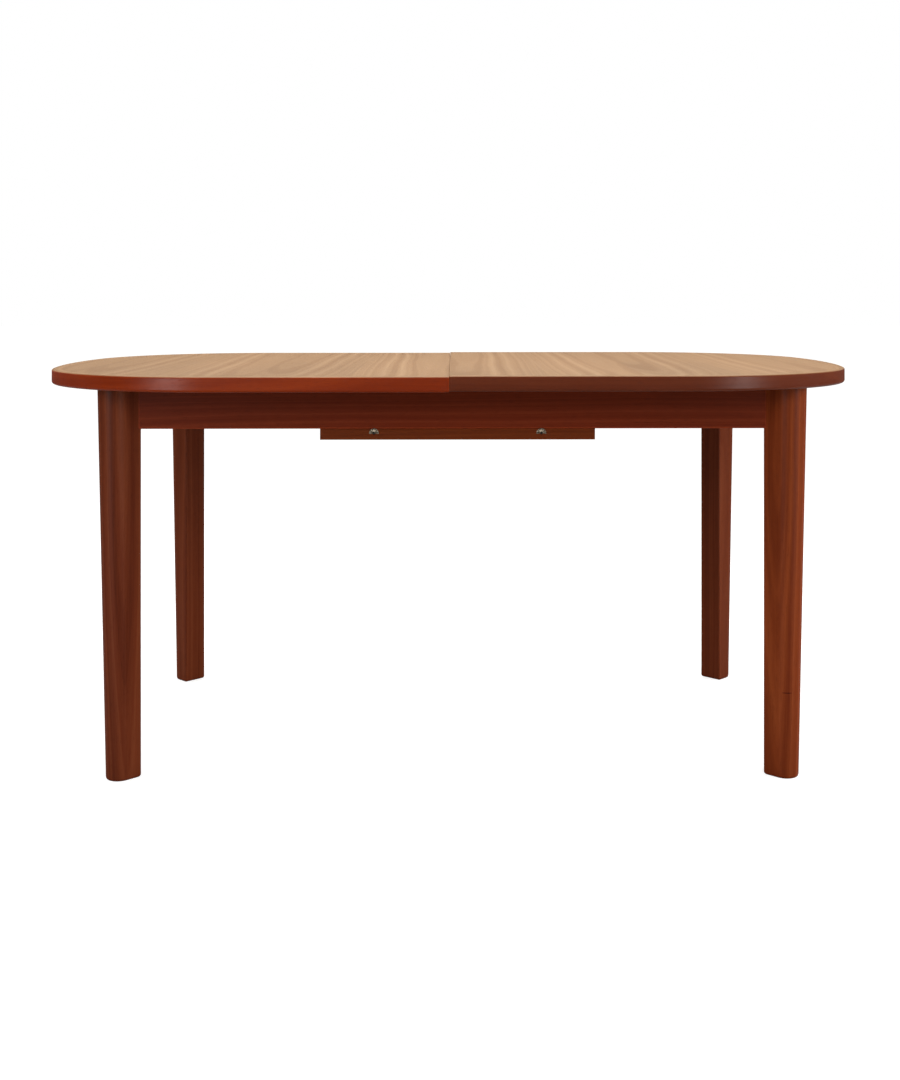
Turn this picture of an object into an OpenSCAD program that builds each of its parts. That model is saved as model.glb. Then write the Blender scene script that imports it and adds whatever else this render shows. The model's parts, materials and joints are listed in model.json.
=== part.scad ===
/* [Top] */
// Length of the closed top
top_len = 1540; // [1500:10:1600]
// Width of the top
top_wid = 920; // [900:5:960]
// Thickness of the top
top_thk = 27; // [24:1:30]
// Height of the top's face above the floor
height = 730; // [720:5:750]
// Radius of the four corners in plan
corner_r = 340; // [320:5:360]
// Radius of the bowed ends in plan
end_r = 1090; // [1000:10:1300]
// Radius of the eased edges
top_ease = 3; // [1:0.5:5]
// Width of the solid lipping round each half
lip_w = 18; // [14:1:24]
// How far the left half sits below the right half
seam_step = 1.5; // [0:0.5:2]
// Gap between the closed halves
seam_gap = 0.5; // [0.4:0.1:1]

/* [Frame] */
// Length over the legs at their tops
frame_len = 1275; // [1250:1:1290]
// Width over the legs at their tops
frame_wid = 728; // [710:1:735]
// How far the frame stands to the right of the middle of the top
frame_x = 7; // [0:0.5:10]
// Height of the aprons
apron_h = 74; // [70:1:78]
// Thickness of the aprons
apron_t = 22; // [20:0.5:22]
// Inset of the aprons' faces from the legs' outer edges
apron_in = 35.5; // [34:0.5:35.5]
// Length of the corner blocks along the aprons
block_len = 90; // [85:1:100]

/* [Legs] */
// Radius of the leg's nose at the top
nose_top = 30; // [26:0.5:31]
// Radius of the leg's nose at the foot
nose_foot = 25; // [20:0.5:25]
// How far each outer face leans in between the top and the foot
leg_lean = 13; // [10:0.5:13]
// Width of the leg's flat inner face
leg_flat = 50; // [45:0.5:50]
// Depth of the leg along its diagonal, from the outer edges' corner
leg_deep = 82; // [82:0.5:84]
// Ease of the foot's edge
foot_ease = 3; // [1:0.5:4]

/* [Slides] */
// Travel of each half
travel = 250; // [200:5:260]
// Width of a runner
runner_w = 16.5; // [15:0.5:17]
// Width of a guide rail
rail_w = 24; // [22:1:24]
// Depth of the rail's grooves
groove_d = 6.5; // [5:0.5:7]
// Height of the rail's grooves
groove_h = 10; // [8:1:12]

/* [Leaf and tray] */
// Length of the spare leaf along the table
leaf_len = 498; // [480:1:499]
// How far the tray stands to the right of the middle of the frame
tray_dx = 8; // [0:0.5:8]
// Length of the tray along the table
tray_len = 496; // [492:1:500]
// Height of the tray's strips
strip_h = 20; // [18:0.5:22]
// Thickness of the tray's board
board_t = 6; // [5:0.5:6]
// Radius of the fan clips
clip_r = 9.2; // [8:0.1:9.5]
// Distance between the fan clips
clip_span = 302; // [250:2:350]

/* [Hidden] */
$fn = 48;
corner_n = 36;
end_n = 16;
ease_n = 4;
hair = 0.01;

under = height - top_thk;
frame_top = under - seam_step - 0.5;
apron_z = frame_top - apron_h;
leg_x = frame_len / 2;
leg_y = frame_wid / 2;
apron_back = apron_in + apron_t;

// Plan of the top: centres of the end arcs and corner arcs, and where they meet
corner_cy = top_wid / 2 - corner_r;
end_cx = top_len / 2 - end_r;
corner_cx = end_cx + sqrt(pow(end_r - corner_r, 2) - pow(corner_cy, 2));
meet = atan2(corner_cy, corner_cx - end_cx);

// Leg section in its own corner: far and near sides of the inner corners
far = leg_deep / sqrt(2) + leg_flat / sqrt(8);
near = leg_deep / sqrt(2) - leg_flat / sqrt(8);
edge_r = 2;

// Corner blocks carry the rails, and the runners pass just over the blocks
block_z = apron_z + 5;
rail_z = apron_z + 43;
rail_h = 29;
bolt_z = (block_z + rail_z) / 2;
bolt_r = 3.95;
bolt_tip = 42;
bolt_play = 0.55;
blank_in = 52;
block_face = (2 * apron_back + block_len) / sqrt(2);
washer_t = 2;
washer_r = 10;
bolt_out = 20;
fit = 0.05;
loose = 0.3;

// Rails and runners, measured from the table's long middle line
side_gap = 0.75;
outer_y = leg_y - far - 1.5;
rail_out = outer_y - runner_w - side_gap;
rail_in = rail_out - rail_w;
inner_y = rail_in - side_gap;
groove_z = rail_z + 9.5;
runner_z = rail_z + 1;
free_drop = 5.5;
rail_x0 = frame_x - leg_x + apron_back;
rail_x1 = frame_x + leg_x - apron_back;
plug_len = 20;
rail_screw_in = 18;
rail_screw_down = 28;
runner_end = 520;
stop_gap = 0.5;
screw_r = 2.2;
screw_head = 4.5;
runner_screw_x = [60, 200, 340, 480];
dowel_r = 4;
dowel_y = [-330, 0, 330];

// Tray and folded leaf
tray_x = frame_x + tray_dx;
tray_z = apron_z - strip_h;
strip_y = leg_y - apron_in;
strip_screw_x = 200;
strip_screw_up = 14;
leaf_wid = 459;
leaf_z = tray_z + board_t + loose;
fold_gap = 1;
upper_z = leaf_z + top_thk + fold_gap;
clip_z = tray_z + 12;
clip_t = 1.6;
hinge_r = 3.5;
plate_t = 1.5;
plate_len = 60;
hinge_y = leaf_wid / 2 + hinge_r;
hinge_z = upper_z - fold_gap / 2;
hinge_x = [-190, 0, 190];
pin_r = 2;
hinge_screws = [-20, 20];

teak = "#7a3a1e";
teak_dark = "#5a2416";
teak_edge = "#8a3c1c";
beech = "#c9a06c";
ply = "#b98c58";
steel = "#8b8b88";
brass = "#b0893e";
iron = "#2c2a28";

// Rectangle w by h with eased corners of radius r
function eased(w, h, r) = [
    for (c = [[w - r, h - r, 0], [r, h - r, 90], [r, r, 180], [w - r, r, 270]])
        for (k = [0 : ease_n])
            [c[0], c[1]] + r * [cos(c[2] + k * 90 / ease_n), sin(c[2] + k * 90 / ease_n)]
];

// Eased bar along X
module bar_x(x0, x1, y0, z0, w, h, r = 1.5) {
    translate([x0, y0, z0]) rotate([90, 0, 90]) linear_extrude(x1 - x0) polygon(eased(w, h, r));
}

// Eased bar along Y
module bar_y(x0, y0, y1, z0, w, h, r = 1.5) {
    translate([x0, y1, z0]) rotate([90, 0, 0]) linear_extrude(y1 - y0) polygon(eased(w, h, r));
}

// Places its children once for the front and once, mirrored, for the rear
module side(s) {
    mirror([0, s > 0 ? 1 : 0, 0]) children();
}

// Places a corner's own frame: +X and +Y run inwards from the legs' outer edges
module corner(sx, sy) {
    translate([frame_x + sx * leg_x, sy * leg_y, 0])
        mirror([sx > 0 ? 1 : 0, 0, 0])
            mirror([0, sy > 0 ? 1 : 0, 0])
                children();
}

// Cylinder along a corner's diagonal, from s0 to s1
module diagonal(s0, s1, r) {
    translate([0, 0, bolt_z]) rotate([0, 0, 45]) rotate([0, 90, 0])
        translate([0, 0, s0]) cylinder(h = s1 - s0, r = r);
}

// ---- Legs and frame ----

module leg_blank() {
    foot_c = leg_lean + nose_foot;
    hull() {
        translate([foot_c, foot_c, 0])
            cylinder(h = foot_ease, r1 = nose_foot - foot_ease, r2 = nose_foot, $fn = 96);
        translate([nose_top, nose_top, frame_top - hair]) cylinder(h = hair, r = nose_top, $fn = 96);
        for (p = [[far - 1.4 * edge_r, near], [near, far - 1.4 * edge_r]]) translate([p[0], p[1], 0]) {
            translate([0, 0, foot_ease]) cylinder(h = frame_top - foot_ease, r = edge_r, $fn = 16);
            translate([-foot_ease / 2, -foot_ease / 2, 0]) cylinder(h = hair, r = edge_r / 2, $fn = 16);
        }
    }
}

module leg(sx, sy) {
    color(teak) corner(sx, sy) difference() {
        leg_blank();
        diagonal(bolt_tip - 2, leg_deep + 10, bolt_r + fit);
    }
}

// What an apron's end makes room for: the leg it is scribed to and the leg's bolt
module apron_end_cut() {
    leg_blank();
    diagonal(leg_deep - 10, block_face, bolt_r + bolt_play);
}

module long_apron(s) {
    color(teak_dark) difference() {
        side(s) bar_x(frame_x - leg_x + blank_in, frame_x + leg_x - blank_in,
            -leg_y + apron_in, apron_z, apron_t, apron_h);
        for (sx = [-1, 1]) corner(sx, s) apron_end_cut();
        for (dx = [-1, 1]) translate([tray_x + dx * strip_screw_x, s * (strip_y - apron_t / 2), apron_z - 1])
            cylinder(h = strip_screw_up + 3, r = screw_r + fit);
    }
}

// The runners leave through notches in the top edge of the end aprons
module end_apron(sx, notch_a, notch_b) {
    x0 = sx < 0 ? rail_x0 - apron_t : rail_x1;
    color(teak_dark) difference() {
        bar_y(x0, -leg_y + blank_in, leg_y - blank_in, apron_z, apron_t, apron_h);
        for (sy = [-1, 1]) {
            corner(sx, sy) apron_end_cut();
            side(sy) translate([x0 - 1, -notch_b, rail_z]) cube([apron_t + 2, notch_b - notch_a, 60]);
        }
    }
}

module corner_block(sx, sy) {
    a = apron_back;
    flat = leg_deep * sqrt(2);
    color(beech) difference() {
        corner(sx, sy) translate([0, 0, block_z]) linear_extrude(rail_z - block_z)
            polygon([[flat - a, a], [a + block_len, a], [a, a + block_len], [a, flat - a]]);
        corner(sx, sy) diagonal(leg_deep - 10, block_face + 10, bolt_r + bolt_play);
        rail_screw_at(sx, sy) translate([0, 0, -rail_screw_down - 2])
            cylinder(h = rail_screw_down + 3, r = screw_r + fit);
    }
}

// Origin on the top of a corner block, under the rail
module rail_screw_at(sx, sy) {
    translate([frame_x + sx * (leg_x - apron_back - rail_screw_in), sy * (rail_in + rail_w / 2), rail_z])
        children();
}

module leg_bolts() {
    color(steel) for (sx = [-1, 1]) for (sy = [-1, 1])
        corner(sx, sy) diagonal(bolt_tip, block_face + bolt_out, bolt_r);
}

module leg_washers() {
    color(steel) for (sx = [-1, 1]) for (sy = [-1, 1]) corner(sx, sy) difference() {
        diagonal(block_face, block_face + washer_t, washer_r);
        diagonal(block_face - 1, block_face + washer_t + 1, bolt_r + loose);
    }
}

module wing_nut() {
    difference() {
        union() {
            cylinder(h = 8, r1 = 7.5, r2 = 6);
            for (m = [0, 1]) mirror([m, 0, 0]) rotate([90, 0, 0]) translate([0, 0, -1.5])
                linear_extrude(3) polygon([[3, 1], [7, 1], [15, 8], [17, 13], [14, 15], [10, 13], [5, 7.5]]);
        }
        translate([0, 0, -1]) cylinder(h = 20, r = bolt_r + fit);
    }
}

module leg_wing_nuts() {
    color(steel) for (sx = [-1, 1]) for (sy = [-1, 1]) corner(sx, sy)
        translate([0, 0, bolt_z]) rotate([0, 0, 45]) rotate([0, 90, 0])
            translate([0, 0, block_face + washer_t]) wing_nut();
}

// ---- Guide rails ----

module guide_rail(s) {
    color(beech) difference() {
        side(s) difference() {
            bar_x(rail_x0, rail_x1, -rail_out, rail_z, rail_w, rail_h);
            for (y0 = [-rail_out - 1, -rail_in - groove_d])
                translate([rail_x0 - 1, y0, groove_z])
                    cube([rail_x1 - rail_x0 + 2, groove_d + 1, groove_h]);
        }
        for (sx = [-1, 1]) rail_screw_at(sx, s) {
            translate([0, 0, -1]) cylinder(h = rail_h + 2, r = screw_r + loose);
            translate([0, 0, rail_h - 3.5]) cylinder(h = 5, r = screw_head + loose);
        }
    }
}

module rail_screws() {
    color(steel) for (sx = [-1, 1]) for (sy = [-1, 1]) rail_screw_at(sx, sy) {
        translate([0, 0, -rail_screw_down]) cylinder(h = rail_screw_down + rail_h - 3, r = screw_r);
        translate([0, 0, rail_h - 3.5]) cylinder(h = 2.5, r = screw_head);
    }
}

// Plugs in the grooves stop the tongues when a half is fully out
module stop_plugs() {
    color(beech) for (s = [-1, 1]) side(s) {
        translate([rail_x0, -rail_out, groove_z]) cube([plug_len, groove_d, groove_h]);
        translate([rail_x1 - plug_len, -rail_in - groove_d, groove_z])
            cube([plug_len, groove_d, groove_h]);
    }
}

// ---- Tray and stored leaf ----

module strip(s) {
    color(teak_dark) difference() {
        side(s) bar_x(tray_x - tray_len / 2, tray_x + tray_len / 2, -strip_y, tray_z, apron_t, strip_h);
        for (dx = [-1, 1]) translate([tray_x + dx * strip_screw_x, s * (strip_y - apron_t / 2), tray_z]) {
            translate([0, 0, -1]) cylinder(h = strip_h + 2, r = screw_r + loose);
            translate([0, 0, -1]) cylinder(h = 4.5, r = screw_head + loose);
        }
        if (s < 0) for (dx = [-1, 1]) clip_at(dx) rotate([-90, 0, 0])
            translate([0, 0, -1]) cylinder(h = 13, r = 1.55);
    }
}

module strip_screws() {
    color(steel) for (s = [-1, 1]) for (dx = [-1, 1])
        translate([tray_x + dx * strip_screw_x, s * (strip_y - apron_t / 2), tray_z]) {
            translate([0, 0, 1]) cylinder(h = 2.5, r = screw_head);
            translate([0, 0, 1]) cylinder(h = strip_h + strip_screw_up, r = screw_r);
        }
}

// Origin at the base of a fan clip, on the strip's face
module clip_at(dx) {
    translate([tray_x + dx * clip_span / 2, -strip_y, clip_z]) children();
}

module fan_clip() {
    difference() {
        rotate([90, 0, 0]) union() {
            linear_extrude(clip_t) intersection() {
                circle(r = clip_r);
                translate([-clip_r, -2]) square([2 * clip_r, clip_r + 2]);
            }
            for (a = [12 : 26 : 168]) rotate([0, 0, a]) translate([2.4, 0, clip_t - 0.3])
                rotate([0, 90, 0]) cylinder(h = clip_r - 3.1, r1 = 0.5, r2 = 1.2);
        }
        rotate([90, 0, 0]) translate([0, 0, -1]) cylinder(h = 6, r = 1.6);
    }
}

module strip_clips() {
    color(steel) for (dx = [-1, 1]) clip_at(dx) fan_clip();
}

module clip_screws() {
    color(iron) for (dx = [-1, 1]) clip_at(dx) {
        rotate([-90, 0, 0]) translate([0, 0, -clip_t]) cylinder(h = clip_t + 10, r = 1.5);
        translate([0, -clip_t, 0]) rotate([90, 0, 0]) rotate_extrude()
            polygon([[0, 0], [2.3, 0], [2.3, 0.6], [1.9, 1.3], [1.1, 1.8], [0, 2]]);
    }
}

module tray_board() {
    y = strip_y - apron_t;
    color(ply) translate([tray_x - tray_len / 2, -y, tray_z]) cube([tray_len, 2 * y, board_t]);
}

module leaf_board(z, rows) {
    color(teak) difference() {
        bar_x(tray_x - leaf_len / 2, tray_x + leaf_len / 2, -leaf_wid / 2, z, leaf_wid, top_thk);
        hinge_screw_at(rows) rotate([90, 0, 0]) translate([0, 0, -1]) cylinder(h = 16, r = 1.55);
    }
}

// Origin on the leaf's hinged edge at each screw, for the rows at heights zs
module hinge_screw_at(zs) {
    for (hx = hinge_x) for (dx = hinge_screws) for (z = zs)
        translate([tray_x + hx + dx, leaf_wid / 2, z]) children();
}

screw_low = [leaf_z + 12];
screw_high = [upper_z + top_thk - 12];

// One half of the three hinges: plates and the knuckles listed in ks
module hinge_half(z0, z1, ks, rows) {
    pitch = plate_len / 5;
    color(brass) difference() {
        for (hx = hinge_x) translate([tray_x + hx - plate_len / 2, 0, 0]) {
            translate([0, leaf_wid / 2, z0]) cube([plate_len, plate_t, z1 - z0]);
            for (k = ks) translate([k * pitch + 0.15, 0, 0]) {
                translate([0, hinge_y, hinge_z]) rotate([0, 90, 0]) cylinder(h = pitch - 0.3, r = hinge_r);
                translate([0, leaf_wid / 2, min(z0, hinge_z)])
                    cube([pitch - 0.3, plate_t, max(z1, hinge_z) - min(z0, hinge_z)]);
            }
        }
        for (hx = hinge_x) translate([tray_x + hx - plate_len / 2 - 1, hinge_y, hinge_z])
            rotate([0, 90, 0]) cylinder(h = plate_len + 2, r = pin_r + fit);
        hinge_screw_at(rows) rotate([-90, 0, 0]) translate([0, 0, -1]) cylinder(h = 5, r = 1.6);
    }
}

module leaf_hinge_pins() {
    color(steel) for (hx = hinge_x) translate([tray_x + hx - plate_len / 2, hinge_y, hinge_z])
        rotate([0, 90, 0]) cylinder(h = plate_len, r = pin_r);
}

module leaf_hinge_screws() {
    color(brass) hinge_screw_at(concat(screw_low, screw_high)) {
        rotate([90, 0, 0]) translate([0, 0, -plate_t - 0.5]) cylinder(h = 15, r = 1.5);
        translate([0, plate_t, 0]) rotate([-90, 0, 0]) cylinder(h = 1, r = 3);
    }
}

// ---- Sliding halves of the top ----

// Half of the rounded oval shrunk by i, from x = x0 near the seam round to +X
function plan(i, x0) = let (
    b = top_wid / 2 - i,
    c = corner_r - i,
    r = end_r - i,
    turn = 90 - meet
) concat(
    [[x0, -b]],
    [for (k = [0 : corner_n]) let (a = -90 + k * turn / corner_n)
        [corner_cx, -corner_cy] + c * [cos(a), sin(a)]],
    [for (k = [1 : end_n]) let (a = meet * (2 * k / end_n - 1)) [end_cx, 0] + r * [cos(a), sin(a)]],
    [for (k = [1 : corner_n]) let (a = meet + k * turn / corner_n)
        [corner_cx, corner_cy] + c * [cos(a), sin(a)]],
    [[x0, b]]
);

// Section of the lipping as inset and height, from its inner face round its eased rim
section = concat(
    [[lip_w, 0]],
    [for (k = [0 : ease_n]) top_ease * [1 - sin(k * 90 / ease_n), 1 - cos(k * 90 / ease_n)]],
    [for (k = [ease_n : -1 : 0])
        [0, top_thk] + top_ease * [1 - sin(k * 90 / ease_n), cos(k * 90 / ease_n) - 1]],
    [[lip_w, top_thk]]
);

// Lipping of the right half: its section carried round the plan
module half_lipping() {
    rings = [for (p = section) [for (q = plan(p[0], seam_gap / 2)) [q[0], q[1], p[1]]]];
    n = len(section);
    m = len(rings[0]);
    polyhedron(
        points = [for (ring = rings) for (q = ring) q],
        faces = concat(
            [for (j = [0 : n - 1]) for (k = [0 : m - 2])
                let (i = (j + 1) % n) [j * m + k, i * m + k, i * m + k + 1, j * m + k + 1]],
            [[for (j = [n - 1 : -1 : 0]) j * m], [for (j = [0 : n - 1]) j * m + m - 1]]
        )
    );
}

// Places the right half, or mirrors it and sets it lower for the left half
module half(sx) {
    mirror([sx < 0 ? 1 : 0, 0, 0]) translate([0, 0, sx < 0 ? under - seam_step : under]) children();
}

module core(sx) {
    z0 = sx < 0 ? under - seam_step : under;
    y0 = sx < 0 ? outer_y - runner_w / 2 : inner_y - runner_w / 2;
    color(teak) difference() {
        half(sx) linear_extrude(top_thk) polygon(plan(lip_w, seam_gap / 2));
        for (y = dowel_y) translate([0, y, under + top_thk / 2 - 1]) rotate([0, 90, 0])
            cylinder(h = sx < 0 ? 56 : 24, r = dowel_r + fit, center = true);
        for (x = runner_screw_x) for (s = [-1, 1])
            translate([sx * x, s * y0, z0 - 1]) cylinder(h = 15, r = screw_r + fit);
    }
}

module lipping(sx) {
    color(teak_edge) half(sx) half_lipping();
}

// Runner of the half on side sx: full height under its own half, lower under the other
module runner(sx, s) {
    own = sx < 0 ? under - seam_step : under;
    y_far = sx < 0 ? outer_y : inner_y;
    y_mid = -y_far + runner_w / 2;
    tongue = groove_d - side_gap / 2 + loose;
    tongue_y = sx < 0 ? -y_far + runner_w - 1 : -y_far - tongue;
    tongue_end = sx < 0 ? -rail_x0 - plug_len - travel - stop_gap : rail_x1 - plug_len - travel - stop_gap;
    color(beech) side(s) mirror([sx < 0 ? 1 : 0, 0, 0]) difference() {
        union() {
            translate([-travel, -y_far, runner_z])
                cube([travel + runner_end, runner_w, under - free_drop - runner_z]);
            translate([2, -y_far, runner_z]) cube([runner_end - 2, runner_w, own - runner_z]);
            translate([-travel, tongue_y, groove_z + 0.5])
                cube([travel + tongue_end, tongue + 1, groove_h - 1]);
        }
        for (x = runner_screw_x) translate([x, y_mid, runner_z]) {
            translate([0, 0, -1]) cylinder(h = 60, r = screw_r + loose);
            translate([0, 0, -1]) cylinder(h = 7, r = screw_head + loose);
        }
    }
}

module runner_screws(sx) {
    y0 = sx < 0 ? outer_y - runner_w / 2 : inner_y - runner_w / 2;
    own = sx < 0 ? under - seam_step : under;
    color(steel) for (x = runner_screw_x) for (s = [-1, 1]) translate([sx * x, s * y0, 0]) {
        translate([0, 0, runner_z + 3.5]) cylinder(h = 2.5, r = screw_head);
        translate([0, 0, runner_z + 3.5]) cylinder(h = own + 13 - runner_z - 3.5, r = screw_r);
    }
}

module seam_dowels() {
    color(beech) for (y = dowel_y) translate([-27, y, under + top_thk / 2 - 1])
        rotate([0, 90, 0]) cylinder(h = 37, r = dowel_r);
}

leg(-1, -1);  // leg_front_left
leg(1, -1);  // leg_front_right
leg(-1, 1);  // leg_rear_left
leg(1, 1);  // leg_rear_right
long_apron(-1);  // apron_front
long_apron(1);  // apron_rear
end_apron(-1, rail_out, leg_y);  // apron_left
end_apron(1, inner_y - runner_w - 1, inner_y + 1);  // apron_right
corner_block(-1, -1);  // corner_block_front_left
corner_block(1, -1);  // corner_block_front_right
corner_block(-1, 1);  // corner_block_rear_left
corner_block(1, 1);  // corner_block_rear_right
leg_bolts();
leg_washers();
leg_wing_nuts();
guide_rail(-1);  // guide_rail_front
guide_rail(1);  // guide_rail_rear
rail_screws();
stop_plugs();
strip(-1);  // strip_front
strip(1);  // strip_rear
strip_screws();
strip_clips();
clip_screws();
tray_board();
leaf_board(leaf_z, screw_low);  // leaf_board_lower
leaf_board(upper_z, screw_high);  // leaf_board_upper
hinge_half(leaf_z + 3, leaf_z + 23, [0, 2, 4], screw_low);  // leaf_hinge_lower
hinge_half(upper_z + 4, upper_z + 24, [1, 3], screw_high);  // leaf_hinge_upper
leaf_hinge_pins();
leaf_hinge_screws();
core(-1);  // top_left
lipping(-1);  // lipping_left
runner(-1, -1);  // runner_left_front
runner(-1, 1);  // runner_left_rear
runner_screws(-1);  // runner_screws_left
seam_dowels();
core(1);  // top_right
lipping(1);  // lipping_right
runner(1, -1);  // runner_right_front
runner(1, 1);  // runner_right_rear
runner_screws(1);  // runner_screws_right
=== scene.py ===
"""Looks of the extending dining table: wood, metal, eased edges, fittings, floor, light and camera."""
import json
import math

import bmesh
import bpy
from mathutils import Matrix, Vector


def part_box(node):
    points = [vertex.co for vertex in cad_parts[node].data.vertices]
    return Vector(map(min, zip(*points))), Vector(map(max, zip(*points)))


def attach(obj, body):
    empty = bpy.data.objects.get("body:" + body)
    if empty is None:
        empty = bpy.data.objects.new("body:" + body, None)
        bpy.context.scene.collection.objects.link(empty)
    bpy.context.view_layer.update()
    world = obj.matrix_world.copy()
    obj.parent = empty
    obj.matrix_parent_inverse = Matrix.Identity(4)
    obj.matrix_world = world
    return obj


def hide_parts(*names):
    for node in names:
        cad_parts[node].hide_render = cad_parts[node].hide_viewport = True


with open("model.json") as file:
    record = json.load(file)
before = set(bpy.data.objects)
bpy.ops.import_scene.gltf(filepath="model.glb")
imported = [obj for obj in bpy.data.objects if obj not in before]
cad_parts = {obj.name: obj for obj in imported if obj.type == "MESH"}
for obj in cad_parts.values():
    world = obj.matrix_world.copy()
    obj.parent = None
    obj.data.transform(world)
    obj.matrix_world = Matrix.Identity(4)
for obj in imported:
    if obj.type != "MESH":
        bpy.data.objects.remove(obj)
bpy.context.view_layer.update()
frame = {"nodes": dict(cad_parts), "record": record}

record = frame["record"]
nodes = frame["nodes"]
X, Y, Z = 0, 1, 2
SLOT_OF = {part["node"]: part["material_slot"] for part in record["subparts"]}

# ---------------------------------------------------------------- camera, floor, light

CAMERA_AT = (0.0076, -2.8824, 0.8794)
CAMERA_YAW = -0.0123
CAMERA_LENS = 47.20
CAMERA_FILM = 36
CAMERA_SHIFT = (-0.01943, -0.23269)

# The floor's side, and the distances from the table's middle between which its glow changes.
FLOOR_SIZE = 60
GLOW_FROM, GLOW_TO = 1.5, 5.0


def make_camera():
    """Level camera in front of the table, solved from the photo, with its frame shifted down."""
    data = bpy.data.cameras.new("camera")
    data.lens = CAMERA_LENS
    data.sensor_width = CAMERA_FILM
    data.shift_x, data.shift_y = CAMERA_SHIFT
    cam = bpy.data.objects.new("camera", data)
    cam.location = CAMERA_AT
    cam.rotation_euler = (math.pi / 2, 0, CAMERA_YAW)
    bpy.context.scene.collection.objects.link(cam)
    bpy.context.scene.camera = cam


def area_light(name, at, aim, size, watts, diffuse=True, glossy=True):
    """Rectangular lamp at one place aimed at another; diffuse and glossy tell what light it gives."""
    data = bpy.data.lights.new(name, "AREA")
    data.shape = "RECTANGLE"
    data.size, data.size_y = size
    data.energy = watts
    light = bpy.data.objects.new(name, data)
    light.location = at
    light.rotation_euler = (Vector(aim) - Vector(at)).to_track_quat("-Z", "Y").to_euler()
    light.visible_diffuse = diffuse
    light.visible_glossy = glossy
    bpy.context.scene.collection.objects.link(light)


def make_world(fill_strength):
    """White where the camera sees it, warmer and dimmer where it lights the table."""
    white = (1, 1, 1, 1)
    warm = (1, 0.985, 0.96, 1)
    world = bpy.data.worlds.new("studio")
    world.use_nodes = True
    tree = world.node_tree
    tree.nodes.clear()
    out = tree.nodes.new("ShaderNodeOutputWorld")
    pick = tree.nodes.new("ShaderNodeMixShader")
    path = tree.nodes.new("ShaderNodeLightPath")
    seen, fill = (tree.nodes.new("ShaderNodeBackground") for _ in range(2))
    seen.inputs["Color"].default_value = white
    seen.inputs["Strength"].default_value = 1.0
    fill.inputs["Color"].default_value = warm
    fill.inputs["Strength"].default_value = fill_strength
    tree.links.new(path.outputs["Is Camera Ray"], pick.inputs[0])
    tree.links.new(fill.outputs[0], pick.inputs[1])
    tree.links.new(seen.outputs[0], pick.inputs[2])
    tree.links.new(pick.outputs[0], out.inputs["Surface"])
    bpy.context.scene.world = world


def make_floor(glow, far_glow, bounce):
    """Pale seamless floor: it glows softly where it is seen, and bounces less light under the table."""
    pale = (0.45, 0.45, 0.448)
    glow_tone = (1, 0.997, 0.99, 1)
    bpy.ops.mesh.primitive_plane_add(size=FLOOR_SIZE)
    floor = bpy.context.object
    floor.name = "studio_floor"
    m = Material("studio_floor")
    seen = m.shade(pale, roughness=0.8, specular=0.1)
    seen.inputs["Emission Color"].default_value = glow_tone
    reach = {"Value": m.length(m.place()), "From Min": GLOW_FROM, "From Max": GLOW_TO}
    strength = m.node("MapRange", {**reach, "To Min": glow, "To Max": far_glow}).outputs[0]
    m.tree.links.new(strength, seen.inputs["Emission Strength"])
    lit = m.node("BsdfDiffuse", {"Color": (bounce, bounce, bounce, 1)})
    path = m.node("LightPath")
    both = m.node("MixShader", {0: path.outputs["Is Camera Ray"], 1: lit.outputs[0], 2: seen.outputs[0]})
    out = next(n for n in m.tree.nodes if n.type == "OUTPUT_MATERIAL")
    m.tree.links.new(both.outputs[0], out.inputs["Surface"])
    floor.data.materials.append(m.data)


# ---------------------------------------------------------------- materials

# Numbers of the Mix node's sockets when it blends colours.
MIX_FACTOR, MIX_A, MIX_B, MIX_RESULT = 0, 6, 7, 2


def toned(colour, k):
    """A colour made darker or lighter by the factor k."""
    return tuple(min(1.0, k * c) for c in colour)


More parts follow.
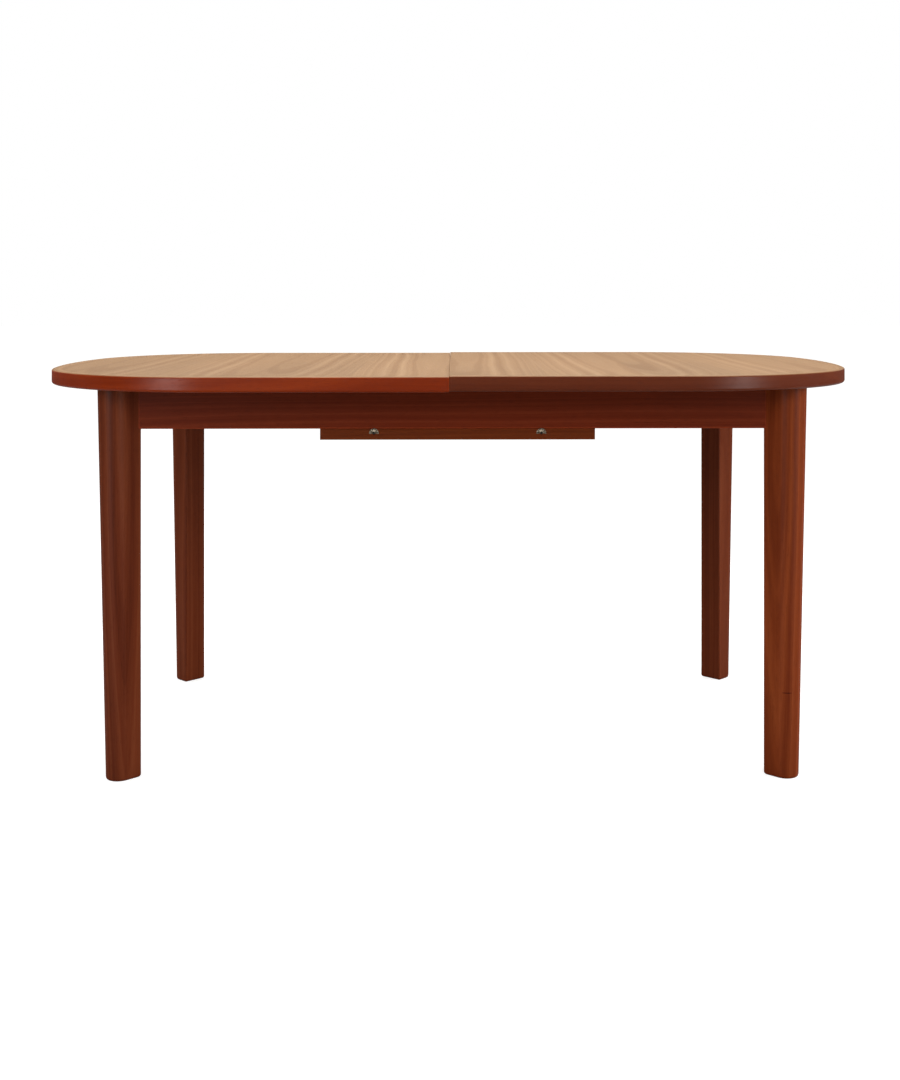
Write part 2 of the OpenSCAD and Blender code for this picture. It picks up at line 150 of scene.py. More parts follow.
class Material:
    """A material and the few node moves that every recipe here uses."""

    def __init__(self, name):
        self.data = bpy.data.materials.new(name)
        self.data.use_nodes = True
        self.tree = self.data.node_tree
        self.tree.nodes.clear()

    def node(self, kind, inputs=(), **settings):
        """Adds a node; an input takes another node's socket or a plain value."""
        n = self.tree.nodes.new("ShaderNode" + kind)
        for key, value in settings.items():
            setattr(n, key, value)
        for key, value in dict(inputs).items():
            if isinstance(value, bpy.types.NodeSocket):
                self.tree.links.new(value, n.inputs[key])
            else:
                n.inputs[key].default_value = value
        return n

    def math(self, op, *values):
        return self.node("Math", enumerate(values), operation=op).outputs[0]

    def vector(self, op, *values):
        return self.node("VectorMath", enumerate(values), operation=op).outputs[0]

    def length(self, vector):
        return self.node("VectorMath", {0: vector}, operation="LENGTH").outputs["Value"]

    def place(self):
        """Place in the object's own axes, which are the table's."""
        return self.node("TexCoord").outputs["Object"]

    def swing(self, value, reach):
        """A value from 0 to 1 turned into one that swings round 0."""
        return self.math("MULTIPLY", self.math("SUBTRACT", value, 0.5), reach)

    def product(self, *values):
        total = values[0]
        for value in values[1:]:
            total = self.math("MULTIPLY", total, value)
        return total

    def total(self, *shares):
        """Sum of values, each times its share."""
        parts = [self.math("MULTIPLY", value, share) for value, share in shares]
        total = parts[0]
        for part in parts[1:]:
            total = self.math("ADD", total, part)
        return total

    def split(self, vector):
        return self.node("SeparateXYZ", {0: vector}).outputs

    def join(self, x, y, z):
        return self.node("CombineXYZ", {0: x, 1: y, 2: z}).outputs[0]

    def noise(self, at, stretch, detail=3.0, rough=0.5):
        """Noise with its coordinates scaled per axis, in cycles a metre."""
        scaled = self.vector("MULTIPLY", at, stretch)
        inputs = {"Vector": scaled, "Scale": 1.0, "Detail": detail, "Roughness": rough}
        return self.node("TexNoise", inputs).outputs["Fac"]

    def lines(self, along, scale, detail, rough):
        """Noise along one value, such as the growth rings met on the way out from the pith."""
        inputs = {"W": along, "Scale": scale, "Detail": detail, "Roughness": rough}
        return self.node("TexNoise", inputs, noise_dimensions="1D").outputs["Fac"]

    def ramp(self, fac, stops):
        """Colours or grey levels at given places of a value, blended between them."""
        n = self.node("ValToRGB", {"Fac": fac})
        while len(n.color_ramp.elements) < len(stops):
            n.color_ramp.elements.new(0.5)
        for e, (place, colour) in zip(n.color_ramp.elements, stops):
            e.position = place
            e.color = (*colour, 1) if not isinstance(colour, (int, float)) else (colour, colour, colour, 1)
        return n.outputs["Color"]

    def mix(self, fac, a, b, blend="MIX"):
        """Blend of two colours: a where fac is 0, b where it is 1."""
        n = self.node("Mix", data_type="RGBA", blend_type=blend)
        for place, value in ((MIX_FACTOR, fac), (MIX_A, a), (MIX_B, b)):
            if isinstance(value, bpy.types.NodeSocket):
                self.tree.links.new(value, n.inputs[place])
            else:
                n.inputs[place].default_value = (*value, 1) if isinstance(value, tuple) else value
        return n.outputs[MIX_RESULT]

    def rounded_edge(self, radius):
        """0 on flat faces, rising to 1 on rounded edges and corners."""
        soft = self.node("Bevel", {"Radius": radius}, samples=6).outputs[0]
        true = self.node("NewGeometry").outputs["Normal"]
        dot = self.node("VectorMath", {0: soft, 1: true}, operation="DOT_PRODUCT").outputs["Value"]
        return self.ramp(dot, [(0.80, 1.0), (0.985, 0.0)])

    def facing_up(self):
        """1 on faces that look straight up, 0 on upright ones."""
        return self.split(self.node("NewGeometry").outputs["Normal"])[Z]

    def bump(self, height, strength, distance):
        return self.node("Bump", {"Strength": strength, "Distance": distance, "Height": height}).outputs[0]

    def shade(self, colour, roughness, normal=None, metallic=0.0, specular=0.5):
        """Ends the recipe in a surface; each value may be a socket or a plain value."""
        out = self.node("OutputMaterial")
        bsdf = self.node("BsdfPrincipled")
        bsdf.inputs["Metallic"].default_value = metallic
        bsdf.inputs["Specular IOR Level"].default_value = specular
        for key, value in (("Base Color", colour), ("Roughness", roughness), ("Normal", normal)):
            if isinstance(value, bpy.types.NodeSocket):
                self.tree.links.new(value, bsdf.inputs[key])
            elif isinstance(value, tuple):
                bsdf.inputs[key].default_value = (*value, 1)
            elif value is not None:
                bsdf.inputs[key].default_value = value
        self.tree.links.new(bsdf.outputs[0], out.inputs["Surface"])
        return bsdf


class Palette:
    """The darkest growth lines, the usual tone and the lightest streaks of one wood."""

    def __init__(self, dark, mid, light):
        self.dark, self.mid, self.light = dark, mid, light

    def scaled(self, k):
        return Palette(*(toned(tone, k) for tone in (self.dark, self.mid, self.light)))


# Scales of the wood's noises in cycles a metre: twice across the grain, then along it.
DRIFT_SCALE = (2.2, 2.2, 0.55)
WANDER_SCALE = (16, 16, 2.4)
FIBRE_SCALE = (420, 420, 7)
CLOUD_SCALE = (5, 5, 1.3)
PORE_SCALE = (1500, 1500, 60)
PATCH_SCALE = (60, 60, 22)

# How far the rings stray from round, in metres, and how much they close in for each metre of board.
DRIFT, WANDER, TAPER = 0.075, 0.008, 0.012

# Broad bands and growth rings to a metre, the shares of bands, rings and fibres in the figure, and how
# far from its middle the figure reaches the darkest and the lightest tone at a contrast of 1.
BANDS_PER_M, RINGS_PER_M = 21, 120
BAND_SHARE, RING_SHARE, FIBRE_SHARE = 0.34, 0.46, 0.20
SPREAD = 0.15

# Tones against the palette: darkest leaf and cloud, pores, bruises, and rubbed arrises with a painted
# highlight.
LEAF_TONE, CLOUD_TONE, PORE_TONE, BRUISE_TONE, WORN_AND_LIT_TONE = 0.93, 0.90, 0.30, 0.20, 1.7

# How far a face has to look up before the top's tone starts, and where it is full.
TILT_FROM, TILT_TO = 0.45, 0.93

# Width of an arris's wear and painted highlight; heights over which a lower arris's painted highlight fades.
ARRIS_WIDTH = 0.003
HIGHLIGHT_LINE_FROM, HIGHLIGHT_LINE_TO = 0.0017, 0.0027

# Veneer: where the first leaf's pith lies, sideways and below, and how far leaves slip along the grain.
VENEER_PITH = (0.05, -0.62)
LEAF_SLIP = 0.6


def grain_of_solid(m):
    """Place in a solid board: two distances across the grain from its pith, and one along it."""
    return m.node("Attribute", attribute_name="grain").outputs["Vector"]


def grain_of_veneer(m, leaf):
    """Place in a sheet of veneer laid in mirrored leaves side by side along X, the grain running along Y.
    The second value is each leaf's own, from 0 to 1."""
    x, y, z = m.split(m.place())
    count = m.math("FLOOR", m.math("DIVIDE", x, leaf))
    dice = m.node("TexWhiteNoise", {"W": m.math("MULTIPLY", count, 0.5)}, noise_dimensions="1D")
    own = dice.outputs["Value"]
    flip = m.math("SUBTRACT", 1.0, m.math("MULTIPLY", m.math("FLOORED_MODULO", count, 2.0), 2.0))
    middle = m.math("MULTIPLY", m.math("ADD", count, 0.5), leaf)
    local = m.math("MULTIPLY", m.math("SUBTRACT", x, middle), flip)
    across = m.math("ADD", local, VENEER_PITH[0])
    deep = m.math("ADD", z, VENEER_PITH[1])
    slip = m.math("MULTIPLY", own, LEAF_SLIP)
    return m.join(across, deep, m.math("ADD", y, slip)), own


def ring_place(m, at):
    """Distance from the pith, bent by a slow drift and a finer wander, closing in along the board."""
    a, b, s = m.split(at)
    out = m.math("SQRT", m.math("ADD", m.math("MULTIPLY", a, a), m.math("MULTIPLY", b, b)))
    drift = m.swing(m.noise(at, DRIFT_SCALE, 2), DRIFT)
    wander = m.swing(m.noise(at, WANDER_SCALE, 2), WANDER)
    closing = m.math("SUBTRACT", m.math("ADD", out, drift), m.math("MULTIPLY", s, TAPER))
    return m.math("ADD", closing, wander)


def wood(name, palette, veneer=None, top=None, contrast=1.0, pores=0.35, roughness=0.45, specular=0.25,
         wear_and_highlight=0.3, bump=0.3, arris=None, marks=()):
    """Oiled wood. Growth rings, broad bands, fibres and pores all follow the grain. Arrises are paler:
    rubbed, and with a painted highlight. veneer is the leaf width, top is the palette of faces that look up,
    arris is the height of a lower arris that gets a painted highlight line, marks are small dark bruises."""
    m = Material(name)
    at, leaf_own = grain_of_veneer(m, veneer) if veneer else (grain_of_solid(m), None)
    ring = ring_place(m, at)
    bands = m.lines(ring, BANDS_PER_M, 2, 0.5)
    rings = m.lines(ring, RINGS_PER_M, 5, 0.62)
    fibre = m.noise(at, FIBRE_SCALE, 4, 0.6)
    figure = m.total((bands, BAND_SHARE), (rings, RING_SHARE), (fibre, FIBRE_SHARE))
    spread = SPREAD / contrast

    def tinted(p):
        return m.ramp(figure, [(0.5 - spread, p.dark), (0.5, p.mid), (0.5 + spread, p.light)])

    colour = tinted(palette)
    if top:
        up = m.ramp(m.facing_up(), [(TILT_FROM, 0.0), (TILT_TO, 1.0)])
        colour = m.mix(up, colour, tinted(top))
    if leaf_own is not None:
        colour = m.mix(1.0, colour, m.ramp(leaf_own, [(0.0, LEAF_TONE), (1.0, 1.0)]), "MULTIPLY")
    cloud = m.noise(at, CLOUD_SCALE, 3, 0.55)
    colour = m.mix(1.0, colour, m.ramp(cloud, [(0.3, CLOUD_TONE), (0.7, 1.0)]), "MULTIPLY")
    pore = m.ramp(m.noise(at, PORE_SCALE, 2), [(0.60, 0.0), (0.68, 1.0)])
    colour = m.mix(m.product(pore, pores), colour, toned(palette.dark, PORE_TONE))
    # Arrises go to the paler rubbed tone: partly real wear, partly a painted highlight.
    rubbed = toned(palette.light, WORN_AND_LIT_TONE)
    patchy = m.ramp(m.noise(at, PATCH_SCALE, 3, 0.6), [(0.35, 0.35), (0.65, 1.0)])
    colour = m.mix(m.product(m.rounded_edge(ARRIS_WIDTH), patchy, wear_and_highlight), colour, rubbed)
    # Painted highlight: a pale line along the lower arris, in the rubbed tone, fading out upwards.
    if arris:
        above = m.math("SUBTRACT", m.split(m.place())[Z], arris)
        colour = m.mix(m.ramp(above, [(HIGHLIGHT_LINE_FROM, 0.5), (HIGHLIGHT_LINE_TO, 0.0)]), colour, rubbed)
    for centre, reach in marks:
        gap = m.length(m.vector("DIVIDE", m.vector("SUBTRACT", m.place(), centre), reach))
        bruise = m.ramp(m.math("ADD", gap, m.math("MULTIPLY", fibre, 0.5)), [(0.9, 0.85), (1.25, 0.0)])
        colour = m.mix(bruise, colour, toned(palette.dark, BRUISE_TONE))
    rough = m.math("ADD", m.math("MULTIPLY", fibre, 0.14), roughness - 0.07)
    rough = m.math("ADD", rough, m.swing(cloud, 0.12))
    rough = m.math("ADD", rough, m.math("MULTIPLY", pore, 0.10))
    height = m.math("SUBTRACT", m.math("MULTIPLY", fibre, 0.5), m.math("MULTIPLY", pore, 0.8))
    m.shade(colour, rough, m.bump(height, bump, 0.00025), specular=specular)
    return m.data


# Birch ply: the height of two plies, the scales of its noises along X, Y and Z, and its tones.
PLY = 0.0024
PLY_FIGURE_SCALE = (3.5, 26, 26)
PLY_FIBRE_SCALE = (9, 260, 260)
PLY_DARK, PLY_LIGHT, PLY_EDGE = (0.38, 0.22, 0.105), (0.52, 0.335, 0.17), (0.20, 0.10, 0.045)


def plywood(name):
    """Birch ply: pale faces, and plies that alternate up the board's edge."""
    m = Material(name)
    at = m.place()
    figure = m.noise(at, PLY_FIGURE_SCALE, 4, 0.6)
    fibre = m.noise(at, PLY_FIBRE_SCALE, 4, 0.6)
    face = m.ramp(m.total((figure, 0.6), (fibre, 0.4)), [(0.35, PLY_DARK), (0.65, PLY_LIGHT)])
    ply = m.math("MODULO", m.math("MULTIPLY", m.split(at)[Z], 1 / PLY), 1.0)
    dark_ply = m.ramp(ply, [(0.45, 0.0), (0.52, 1.0)])
    side = m.ramp(m.math("ABSOLUTE", m.facing_up()), [(0.3, 1.0), (0.5, 0.0)])
    colour = m.mix(m.product(dark_ply, side, 0.6), face, PLY_EDGE)
    m.shade(colour, 0.6, m.bump(fibre, 0.2, 0.0002), specular=0.25)
    return m.data


# Scales of the metals' noises in cycles a metre.
TARNISH_SCALE = (240, 240, 240)
SCRATCH_SCALE = (2600, 900, 2600)


def metal(name, colour, tarnish, roughness):
    """Metal with soft tarnish, rubbed edges and fine scratches."""
    m = Material(name)
    at = m.place()
    cloud = m.noise(at, TARNISH_SCALE, 4, 0.6)
    shade = m.mix(m.ramp(cloud, [(0.40, 0.0), (0.70, 1.0)]), colour, tarnish)
    shade = m.mix(m.product(m.rounded_edge(0.0006), 0.5), shade, toned(colour, 1.3))
    rough = m.math("ADD", m.math("MULTIPLY", cloud, 0.30), roughness - 0.12)
    fine = m.noise(at, SCRATCH_SCALE, 3, 0.7)
    m.shade(shade, rough, m.bump(fine, 0.15, 0.00008), metallic=1.0)
    return m.data


# ---------------------------------------------------------------- pieces

BODY_OF = {name: body for body, names in record["behaviour"]["bodies"].items() for name in names}

# Vertices this near are one, and faces this flat to each other are one.
SAME_PLACE = 0.00001
SAME_PLANE = math.radians(0.3)

# Edges are eased when they are at least this sharp and this long. SAME_X and SEAM_REACH pick some of them.
SHARP = math.radians(50)
SHORT = 0.002
SAME_X = 0.0001
SEAM_REACH = 0.002

# Angles of a quarter turn, for eased edges.
QUARTER = [k * math.pi / 12 for k in range(7)]


def piece_from(bm, name, body, material, stands_for, sharp=40):
    """Turns a bmesh into a piece that rides on a body and stands for a CAD node."""
    bmesh.ops.recalc_face_normals(bm, faces=bm.faces)
    mesh = bpy.data.meshes.new(name)
    bm.to_mesh(mesh)
    bm.free()
    mesh.shade_smooth()
    mesh.set_sharp_from_angle(angle=math.radians(sharp))
    piece = bpy.data.objects.new(name, mesh)
    bpy.context.scene.collection.objects.link(piece)
    mesh.materials.append(material)
    weigh = piece.modifiers.new("weigh", "WEIGHTED_NORMAL")
    weigh.keep_sharp = True
    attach(piece, body)
    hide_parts(stands_for)
    return piece


def write_grain(mesh, places):
    """Stores each vertex's place in its board: two distances across the grain and one along it."""
    store = mesh.attributes.new("grain", "FLOAT_VECTOR", "POINT")
    store.data.foreach_set("vector", [c for place in places for c in place])


def board_grain(axis, pith, start=0.0):
    """Rule for a straight board: grain along axis, the other two axes measured from its pith."""
    others = [i for i in (X, Y, Z) if i != axis]

    def rule(co):
        return co[others[0]] - pith[0], co[others[1]] - pith[1], co[axis] + start
    return rule


def across_strip(a, b):
    """True for an edge of a strip that doesn't run along it."""
    return abs(a[X] - b[X]) < SAME_X


def at_seam(a, b):
    """True for an edge that lies along the seam between the halves."""
    return abs(a[X]) < SEAM_REACH and abs(b[X]) < SEAM_REACH


def refined(name, material, grain, ease=0.0, edges=None):
    """Clean copy of a CAD node: joined vertices, whole flat faces, broken arrises and grain places.
    Sharp outer edges longer than SHORT are eased: those that edges picks by their two ends, or all."""
    bm = bmesh.new()
    bm.from_mesh(nodes[name].data)
    bmesh.ops.remove_doubles(bm, verts=bm.verts, dist=SAME_PLACE)
    bmesh.ops.dissolve_limit(bm, angle_limit=SAME_PLANE, verts=bm.verts, edges=bm.edges)
    if ease:
        chosen = [e for e in bm.edges if e.is_manifold and e.is_convex and e.calc_face_angle(0) > SHARP
                  and e.calc_length() > SHORT and (edges is None or edges(*(v.co for v in e.verts)))]
        bmesh.ops.bevel(bm, geom=chosen, offset=ease, segments=2, profile=0.5, affect="EDGES",
                        clamp_overlap=False)
    bmesh.ops.triangulate(bm, faces=[f for f in bm.faces if len(f.verts) > 4])
    piece = piece_from(bm, name + "_wood", BODY_OF[name], material, name)
    write_grain(piece.data, [grain(v.co) for v in piece.data.vertices])


def dress(name, material):
    """Gives its material to a CAD node that is shown as it is."""
    slots = nodes[name].data.materials
    slots.clear()
    slots.append(material)


# ---------------------------------------------------------------- legs

# The flat's width, its distance from the frame's corner, and how far the outer faces lean in at the foot.
LEG_FLAT = 0.050
LEG_DEEP = 0.082
LEG_LEAN = 0.013

# Radii of the nose and of the flat's corners. The corners' centres are set in by CORNER_SET radii, about
# the square root of 2, so that their rounds touch the flat.
NOSE_TOP, NOSE_FOOT = 0.030, 0.025
CORNER_R = 0.0022
CORNER_SET = 1.4

# Easing of the foot, about half the leg's width, and the number of steps up the leg.
FOOT_EASE = 0.0055
LEG_HALF = 0.036
LEG_RINGS = 24


def leg_section(t):
    """Leg outline at t, from 0 at the foot to 1 at the top, measured inward from the frame's corner.
    A big round nose faces the corner, and a flat with two small rounds faces the middle of the table."""
    nose_r = NOSE_FOOT + (NOSE_TOP - NOSE_FOOT) * t
    centre = nose_r + LEG_LEAN * (1 - t)
    middle = LEG_DEEP / math.sqrt(2)
    half = LEG_FLAT / math.sqrt(8)
    far, near = middle + half - CORNER_SET * CORNER_R, middle - half
    run = math.hypot(far - centre, near - centre)
    lean = math.atan2(near - centre, far - centre)
    low = lean - math.acos((nose_r - CORNER_R) / run)
    high = math.pi / 2 - low
    points = []
    for c, r, a0, a1, steps in (((far, near), CORNER_R, low, math.pi / 4, 5),
                                ((near, far), CORNER_R, math.pi / 4, high, 5),
                                ((centre, centre), nose_r, high, low + 2 * math.pi, 40)):
        for k in range(steps + 1):
            a = a0 + (a1 - a0) * k / steps
            points.append((c[0] + r * math.cos(a), c[1] + r * math.sin(a)))
    return points


def leg(name, sx, sy, material, pith):
    """Leg lofted from its eased foot to its top; sx and sy tell which corner of the frame it stands in."""
    low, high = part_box(name)
    corner = (high[X] if sx > 0 else low[X], high[Y] if sy > 0 else low[Y])
    tall = high[Z] - low[Z]
    levels = [(FOOT_EASE * (1 - math.cos(a)), FOOT_EASE * (1 - math.sin(a))) for a in QUARTER[:-1]]
    levels += [(FOOT_EASE + (tall - FOOT_EASE) * k / LEG_RINGS, 0.0) for k in range(LEG_RINGS + 1)]
    bm = bmesh.new()
    rings, places = [], []
    for z, inset in levels:
        outline = leg_section(z / tall)
        cx = sum(p[0] for p in outline) / len(outline)
        cy = sum(p[1] for p in outline) / len(outline)
        shrink = 1 - inset / LEG_HALF
        ring = []
        for px, py in outline:
            px, py = cx + (px - cx) * shrink, cy + (py - cy) * shrink
            ring.append(bm.verts.new((corner[X] - sx * px, corner[Y] - sy * py, low[Z] + z)))
            places.append((px - pith[0], py - pith[1], z + pith[2]))
        rings.append(ring)
    n = len(rings[0])
    for below, above in zip(rings, rings[1:]):
        for k in range(n):
            bm.faces.new((below[k], below[(k + 1) % n], above[(k + 1) % n], above[k]))
    bm.faces.new(rings[0][::-1])
    bm.faces.new(rings[-1])
    piece = piece_from(bm, name + "_wood", BODY_OF[name], material, name)
    write_grain(piece.data, places)


# ---------------------------------------------------------------- lipping round the top

# Radii of the top's ends and corners seen from above, and the width of the edge band.
END_R = 1.090
CORNER_PLAN_R = 0.340
LIP_W = 0.018

# Easing of the band's two arrises, the place of its pith, and where along its board each half starts.
TOP_EASE = 0.003
LOW_EASE = 0.005
LIP_PITH = (-0.11, 0.03)
LIP_START = 0.4


def rim(length, width, inset, x0, corner_steps=44, end_steps=22, side_steps=14):
    """Half of the rounded oval shrunk by inset, from x0 at the front round the right-hand end to the rear."""
    cy = width / 2 - CORNER_PLAN_R
    end_x = length / 2 - END_R
    cx = end_x + math.sqrt((END_R - CORNER_PLAN_R) ** 2 - cy ** 2)
    meet = math.atan2(cy, cx - end_x)
    corner, end = CORNER_PLAN_R - inset, END_R - inset
    front = [(x0 + (cx - x0) * k / side_steps, inset - width / 2) for k in range(side_steps)]
    turn = [-math.pi / 2 + (math.pi / 2 - meet) * k / corner_steps for k in range(corner_steps + 1)]
    first = [(cx + corner * math.cos(a), -cy + corner * math.sin(a)) for a in turn]
    bow = [(end_x + end * math.cos(a), end * math.sin(a))
           for a in (meet * (2 * k / end_steps - 1) for k in range(1, end_steps))]
    near = front + first + bow
    return near + [(x, -y) for x, y in (front + first)[::-1]]


def lip_section(thick):
    """Lipping section as inset and height: inner foot, eased lower arris, eased upper arris, inner head."""
    low = [(LOW_EASE * (1 - math.sin(a)), LOW_EASE * (1 - math.cos(a))) for a in QUARTER]
    high = [(TOP_EASE * (1 - math.sin(a)), thick - TOP_EASE * (1 - math.cos(a))) for a in QUARTER[::-1]]
    return [(LIP_W, 0)] + low + high + [(LIP_W, thick)]


def lipping(name, sx, material):
    """Edge band of one half: its section swept along the rim, with the grain running round the bend."""
    low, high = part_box(name)
    seam = min(abs(low[X]), abs(high[X]))
    length, width = 2 * max(abs(low[X]), abs(high[X])), high[Y] - low[Y]
    section = lip_section(high[Z] - low[Z])
    outer = rim(length, width, 0.0, seam)
    run = [0.0]
    for a, b in zip(outer, outer[1:]):
        run.append(run[-1] + math.dist(a, b))
    bm = bmesh.new()
    rows, places = [], []
    for inset, z in section:
        rows.append([bm.verts.new((sx * x, y, low[Z] + z)) for x, y in rim(length, width, inset, seam)])
        places += [(inset - LIP_PITH[0], z - LIP_PITH[1], s + LIP_START * sx) for s in run]
    for j, row in enumerate(rows):
        after = rows[(j + 1) % len(rows)]
        for k in range(len(row) - 1):
            bm.faces.new((row[k], row[k + 1], after[k + 1], after[k]))
    bm.faces.new([row[0] for row in rows])
    bm.faces.new([row[-1] for row in rows])
    piece = piece_from(bm, name + "_wood", BODY_OF[name], material, name, sharp=50)
    write_grain(piece.data, places)


# ---------------------------------------------------------------- fan clips

# Radii of the fan and of its hole, the height of its middle over its lower end, and the angle it spans.
FAN_R, HOLE_R = 0.0092, 0.0017
FAN_FOOT = 0.002
FAN_FROM, FAN_SWEEP = math.radians(-10), math.radians(200)

# Flutes, the grid's steps round and out, and the share of the radius by which the rim is scalloped.
FLUTES = 7
FAN_STEPS, FAN_ROWS = 16 * FLUTES, 12
SCALLOP = 0.07

# Thickness at the thinnest, depth of the back in the strip, rise of the belly and of the ridges on it,
# and the part of that rise left at the rim.
SKIN, SUNK = 0.0004, 0.0001
BELLY, RIDGE = 0.0009, 0.0010
RIM_SWELL = 0.35


def fan_sheet(bm, x, face, base, fluted):
    """Grid of vertices from the screw's hole out to the scalloped rim: the fluted front or the flat back."""
    grid = []
    for i in range(FAN_ROWS + 1):
        q = i / FAN_ROWS
        swell = math.sin(math.pi * min(1.0, 0.25 + q * 0.85)) ** 0.5 if i < FAN_ROWS else RIM_SWELL
        row = []
        for k in range(FAN_STEPS + 1):
            a = FAN_FROM + FAN_SWEEP * k / FAN_STEPS
            crest = 1 - abs(math.cos(FLUTES * math.pi * k / FAN_STEPS))
            r = HOLE_R + (FAN_R * (1 - SCALLOP + SCALLOP * crest) - HOLE_R) * q
            depth = SKIN + (BELLY + RIDGE * crest * q) * swell if fluted else -SUNK
            row.append(bm.verts.new((x + r * math.cos(a), face - depth, base + r * math.sin(a))))
        grid.append(row)
    for r0, r1 in zip(grid, grid[1:]):
        for k in range(FAN_STEPS):
            bm.faces.new((r0[k], r0[k + 1], r1[k + 1], r1[k]))
    return grid


def round_the_rim(grid):
    """A sheet's outer vertices in order: back along the hole, out one side, along the rim and in again."""
    out = [row[0] for row in grid[1:-1]]
    back = [row[-1] for row in grid[-2:0:-1]]
    return grid[0][::-1] + out + grid[-1] + back


def fan_clips(material):
    """Two pressed steel fans, fluted like a shell and scalloped round the rim, each round its screw."""
    low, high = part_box("strip_clips")
    base = low[Z] + FAN_FOOT
    bm = bmesh.new()
    for x in (low[X] + FAN_R, high[X] - FAN_R):
        under, top = (round_the_rim(fan_sheet(bm, x, high[Y], base, fluted)) for fluted in (False, True))
        n = len(top)
        for k in range(n):
            bm.faces.new((top[k], top[(k + 1) % n], under[(k + 1) % n], under[k]))
    body, slot = BODY_OF["strip_clips"], SLOT_OF["strip_clips"]
    piece_from(bm, "fan_clips", body, material, "strip_clips", sharp=60)


# ---------------------------------------------------------------- the scene

make_camera()
make_world(fill_strength=0.235)
make_floor(glow=0.77, far_glow=0.96, bounce=0.40)
area_light("overhead", (0, 0.1, 2.6), (0, 0, 0.7), (3.4, 2.4), 111)
area_light("front_soft", (0, -3.3, 2.0), (0, 0, 0.6), (3.2, 1.4), 59, glossy=False)
area_light("rear_soft", (0, 3.4, 1.8), (0, 0, 0.6), (3.2, 1.4), 30, glossy=False)
area_light("side_left", (-3.3, -0.2, 1.0), (0, 0, 0.55), (1.4, 1.6), 26, glossy=False)
area_light("side_right", (3.3, -0.2, 1.0), (0, 0, 0.55), (1.4, 1.6), 70, glossy=False)
area_light("glint_left", (-1.95, -2.8, 0.7), (-0.49, -0.44, 0.7), (0.7, 1.2), 62, diffuse=False)
area_light("glint_right", (2.3, -2.45, 0.7), (0.51, -0.43, 0.7), (0.7, 1.2), 54, diffuse=False)

TEAK = Palette(dark=(0.225, 0.118, 0.052), mid=(0.297, 0.172, 0.085), light=(0.362, 0.222, 0.118))
EDGE_L = Palette(dark=(0.1849, 0.0175, 0.001), mid=(0.237, 0.0255, 0.0016), light=(0.2725, 0.0323, 0.0024))
EDGE_R = Palette(dark=(0.094, 0.0155, 0.0042), mid=(0.125, 0.0235, 0.007), light=(0.158, 0.034, 0.0115))
APRON = Palette(dark=(0.131, 0.0161, 0.0041), mid=(0.168, 0.0235, 0.0065), light=(0.21, 0.0338, 0.0106))
STRIP = Palette(dark=(0.1115, 0.0178, 0.003), mid=(0.143, 0.026, 0.0048), light=(0.1787, 0.0374, 0.0078))
LEG = Palette(dark=(0.1022, 0.0172, 0.0048), mid=(0.146, 0.028, 0.0085), light=(0.1825, 0.0403, 0.0138))
LEG_FR = Palette(dark=(0.155, 0.024, 0.0045), mid=(0.208, 0.0365, 0.0075), light=(0.26, 0.052, 0.012))
BEECH = Palette(dark=(0.335, 0.200, 0.105), mid=(0.425, 0.270, 0.150), light=(0.50, 0.335, 0.20))
BRUISE_AT, BRUISE_REACH = (0.605, -0.352, 0.155), (0.012, 0.03, 0.0013)
APRON_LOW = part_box("apron_front")[0][Z]

board_top = wood("teak_top", TEAK, veneer=0.17, contrast=0.9, pores=0.25, specular=0.25, roughness=0.45)
leaf_wood = wood("teak_leaf", TEAK, contrast=0.9, pores=0.25, specular=0.3)
# The lipping's stronger edge lightening is partly wear and partly a painted highlight on its arrises.
edge_left = wood("teak_lipping_left", EDGE_L, top=TEAK, specular=0.1, roughness=0.35, wear_and_highlight=0.45)
edge_right = wood("teak_lipping_right", EDGE_R, top=TEAK, specular=0.1, roughness=0.35, wear_and_highlight=0.45)
# The apron's arrises are part wear, part painted highlight, with a painted highlight line along its lower
# arris.
apron_wood = wood("teak_apron", APRON, contrast=0.8, specular=0.03, wear_and_highlight=0.5, arris=APRON_LOW)
strip_wood = wood("teak_strip", STRIP, specular=0.04, wear_and_highlight=0.6)
bruise = ((BRUISE_AT, BRUISE_REACH),)
leg_woods = {
    ("front", "left"): wood("teak_leg_front_left", LEG, contrast=1.3, specular=0.05),
    ("front", "right"): wood("teak_leg_front_right", LEG_FR, contrast=1.3, specular=0.05, marks=bruise),
    ("rear", "left"): wood("teak_leg_rear_left", LEG.scaled(0.97), contrast=1.3, specular=0.05),
    ("rear", "right"): wood("teak_leg_rear_right", LEG.scaled(0.92), contrast=1.3, specular=0.05),
}
beech_wood = wood("beech", BEECH, contrast=0.8, pores=0.45, roughness=0.55, specular=0.25, wear_and_highlight=0.15)
ply_wood = plywood("plywood")
metals = {
    "zinc_steel": metal("zinc_steel", (0.55, 0.55, 0.53), (0.35, 0.34, 0.32), 0.38),
    "clip_steel": metal("clip_steel", (0.22, 0.185, 0.14), (0.07, 0.052, 0.036), 0.36),
    "dark_steel": metal("dark_steel", (0.030, 0.026, 0.024), (0.015, 0.013, 0.012), 0.42),
    "brass": metal("brass", (0.60, 0.43, 0.18), (0.33, 0.22, 0.10), 0.35),
}

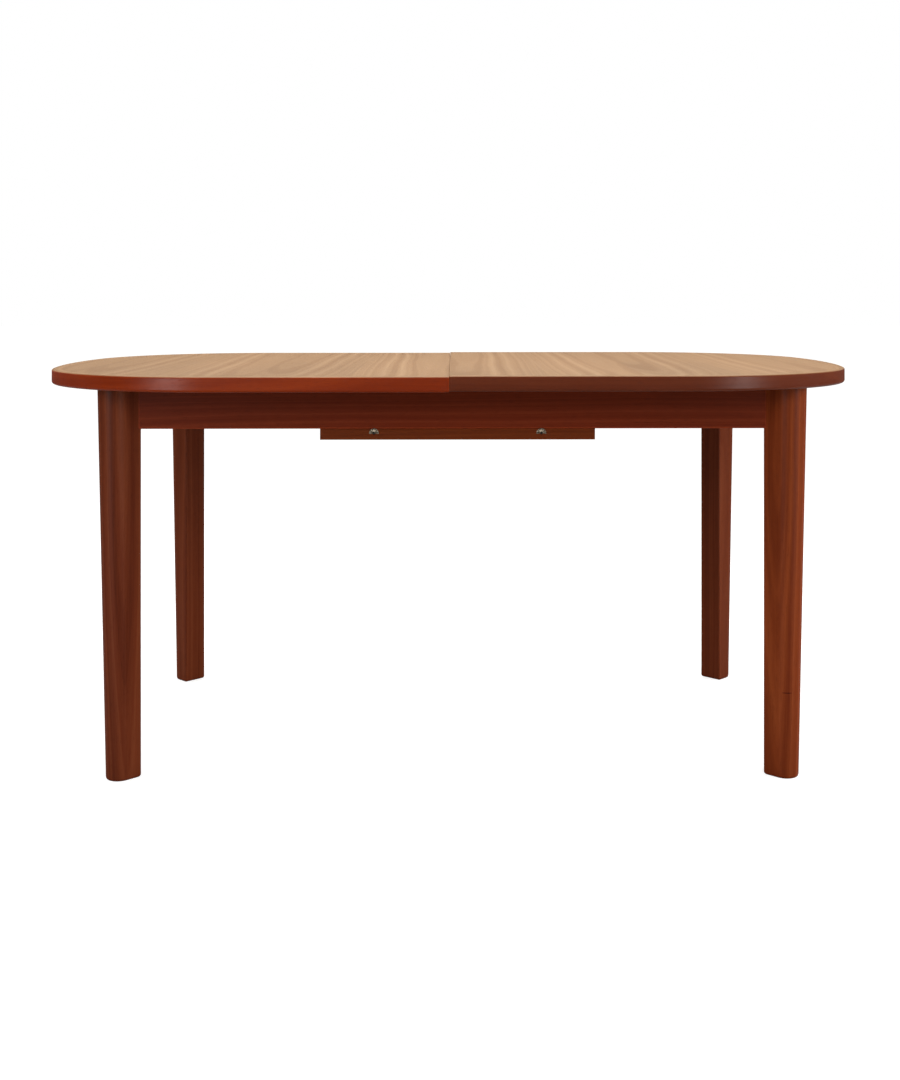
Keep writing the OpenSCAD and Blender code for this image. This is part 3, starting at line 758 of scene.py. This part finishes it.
for k, (end, sy) in enumerate((("front", -1), ("rear", 1))):
    for j, (hand, sx) in enumerate((("left", -1), ("right", 1))):
        pith = (0.13 + 0.03 * j, -0.09 - 0.05 * k, 1.1 * k + 2.3 * j)
        leg(f"leg_{end}_{hand}", sx, sy, leg_woods[end, hand], pith)
        block_grain = board_grain(X, (sy * 0.2, 0.55), k + 2 * j)
        refined(f"corner_block_{end}_{hand}", beech_wood, block_grain, ease=0.0006)

for name, axis, pith, start in (("apron_front", X, (-0.36, 0.48), 3.0), ("apron_rear", X, (0.37, 0.51), 5.0),
                                ("apron_left", Y, (-0.66, 0.50), 7.0), ("apron_right", Y, (0.68, 0.47), 9.0)):
    refined(name, apron_wood, board_grain(axis, pith, start))
for name, pith, start in (("strip_front", (-0.30, 0.52), 11.0), ("strip_rear", (0.30, 0.53), 13.0)):
    refined(name, strip_wood, board_grain(X, pith, start), ease=0.0008, edges=across_strip)

lipping("lipping_left", -1, edge_left)
lipping("lipping_right", 1, edge_right)
for name in ("top_left", "top_right"):
    refined(name, board_top, board_grain(Y, (0.0, 0.0)), ease=0.0005, edges=at_seam)
for name, start in (("leaf_board_lower", 0.0), ("leaf_board_upper", 1.7)):
    refined(name, leaf_wood, board_grain(Y, (0.05, 0.52), start), ease=0.001)

for name, start in (("guide_rail_front", 0.0), ("guide_rail_rear", 2.0), ("runner_left_front", 4.0),
                    ("runner_left_rear", 6.0), ("runner_right_front", 8.0), ("runner_right_rear", 10.0)):
    side = -1 if name.endswith("front") else 1
    refined(name, beech_wood, board_grain(X, (side * 0.17, 0.58), start), ease=0.0006)
refined("stop_plugs", beech_wood, board_grain(X, (0.1, 0.6), 12.0), ease=0.0005)
refined("seam_dowels", beech_wood, board_grain(X, (0.01, 0.69), 14.0))

fan_clips(metals["clip_steel"])
dress("tray_board", ply_wood)
for name, slot in SLOT_OF.items():
    if slot in metals and name != "strip_clips":
        dress(name, metals[slot])

scene = bpy.context.scene
scene.view_settings.view_transform = "Standard"
scene.view_settings.look = "None"
